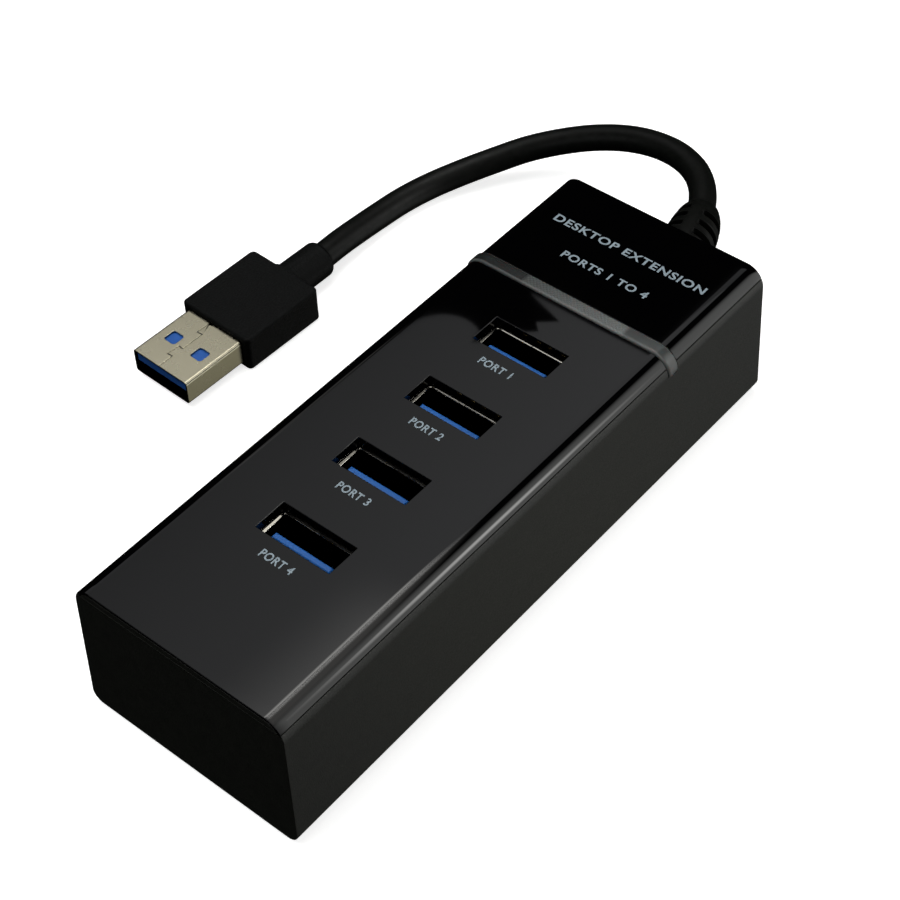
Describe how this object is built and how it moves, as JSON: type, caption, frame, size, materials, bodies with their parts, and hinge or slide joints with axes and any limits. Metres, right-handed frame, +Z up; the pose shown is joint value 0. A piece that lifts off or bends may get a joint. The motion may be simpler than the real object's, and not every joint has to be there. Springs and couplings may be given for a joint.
{
  "type": "usb hub",
  "caption": "Slim rectangular desktop hub with upright sockets along its gloss top face, a clear light bar across it and a short captive lead ending in a flat plug.",
  "frame": {"origin": "centre of the case's footprint, on the surface that its feet stand on", "axes": "+Z up, +Y along the case towards the end that the lead leaves, +X across the case away from the plug"},
  "size_m": [0.0797, 0.1353, 0.0251],
  "materials": {
    "cover_gloss_black": "piano black, polished",
    "case_matt_black": "fine spark-eroded texture",
    "light_bar_clear": "clear, with a dimpled diffuser inside",
    "socket_nickel": "nickel-plated stamped sheet",
    "insulator_blue": "satin moulded",
    "contact_gold": "gold flash",
    "board_green": "solder mask over glass fibre",
    "chip_black": "moulded package",
    "tinned_can": "drawn can",
    "led_white": "clear epoxy over white",
    "screw_zinc": "black zinc",
    "foot_rubber": "matt",
    "lead_black": "satin jacket",
    "plug_matt_black": "fine sand texture",
    "wire_red": "satin",
    "wire_white": "satin",
    "wire_green": "satin",
    "wire_black": "satin",
    "wire_blue": "satin",
    "wire_yellow": "satin",
    "wire_grey": "satin",
    "wire_purple": "satin",
    "wire_orange": "satin"
  },
  "bodies": {
    "root": {"base_case": "case_matt_black", "top_cover": "cover_gloss_black", "light_bar": "light_bar_clear", "receptacle_shell_1": "socket_nickel", "receptacle_shell_2": "socket_nickel", "receptacle_shell_3": "socket_nickel", "receptacle_shell_4": "socket_nickel", "receptacle_insulator_1": "insulator_blue", "receptacle_insulator_2": "insulator_blue", "receptacle_insulator_3": "insulator_blue", "receptacle_insulator_4": "insulator_blue", "receptacle_contacts_1": "contact_gold", "receptacle_contacts_2": "contact_gold", "receptacle_contacts_3": "contact_gold", "receptacle_contacts_4": "contact_gold", "circuit_board": "board_green", "hub_controller_chip": "chip_black", "crystal": "tinned_can", "voltage_regulator": "chip_black", "port_capacitor_1": "tinned_can", "port_capacitor_2": "tinned_can", "port_capacitor_3": "tinned_can", "port_capacitor_4": "tinned_can", "status_led_1": "led_white", "status_led_2": "led_white", "case_screw_1": "screw_zinc", "case_screw_2": "screw_zinc", "case_screw_3": "screw_zinc", "case_screw_4": "screw_zinc", "rubber_foot_1": "foot_rubber", "rubber_foot_2": "foot_rubber", "rubber_foot_3": "foot_rubber", "rubber_foot_4": "foot_rubber", "strain_relief": "lead_black", "cable": "lead_black", "conductor_1": "wire_red", "conductor_2": "wire_white", "conductor_3": "wire_green", "conductor_4": "wire_black", "conductor_5": "wire_blue", "conductor_6": "wire_yellow", "conductor_7": "wire_grey", "conductor_8": "wire_purple", "conductor_9": "wire_orange", "plug_overmold": "plug_matt_black", "plug_shell": "socket_nickel", "plug_insulator": "insulator_blue", "plug_contacts": "contact_gold"}
  },
  "joints": []
}
